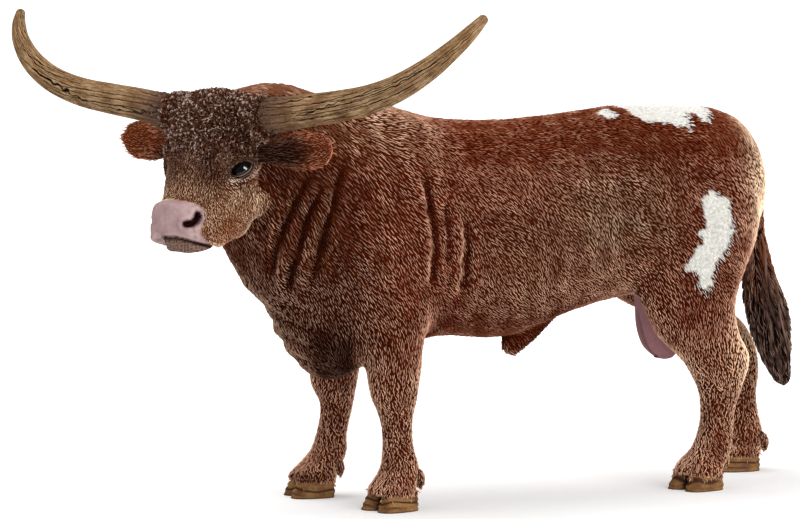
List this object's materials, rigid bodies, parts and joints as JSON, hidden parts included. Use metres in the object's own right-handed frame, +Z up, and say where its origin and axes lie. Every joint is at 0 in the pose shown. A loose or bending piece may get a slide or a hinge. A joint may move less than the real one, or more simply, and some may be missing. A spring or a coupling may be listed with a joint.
{
  "type": "toy longhorn bull figure",
  "caption": "Moulded and hand-painted plastic toy of a Texas longhorn bull, standing with its head turned to its left and its long horns spread wide.",
  "frame": {"origin": "middle of the figure's footprint, on the floor under the hooves", "axes": "-Y is the way the bull stands facing, +X is its left side, +Z is up; its head is turned 22 degrees to its left"},
  "size_m": [0.1084, 0.1472, 0.0921],
  "materials": {
    "coat": "matte red-brown paint, dark wash in the moulded fur and light strokes on its tips",
    "muzzle": "satin pink paint",
    "horn": "matt tan paint with dark brown in the grooves",
    "hoof": "matt ochre paint with brown growth lines",
    "eye": "gloss black paint",
    "switch": "matt dark brown paint with lighter strokes"
  },
  "bodies": {
    "root": {"torso": "coat", "neck": "coat", "head": "coat", "muzzle": "muzzle", "ear_left": "coat", "ear_right": "coat", "eye_left": "eye", "eye_right": "eye", "horn_left": "horn", "horn_right": "horn", "foreleg_left": "coat", "foreleg_right": "coat", "hindleg_left": "coat", "hindleg_right": "coat", "foreleg_left_hoof_inner": "hoof", "foreleg_left_hoof_outer": "hoof", "foreleg_right_hoof_inner": "hoof", "foreleg_right_hoof_outer": "hoof", "hindleg_left_hoof_inner": "hoof", "hindleg_left_hoof_outer": "hoof", "hindleg_right_hoof_inner": "hoof", "hindleg_right_hoof_outer": "hoof", "tail": "coat", "tail_switch": "switch", "scrotum": "muzzle"}
  },
  "joints": []
}
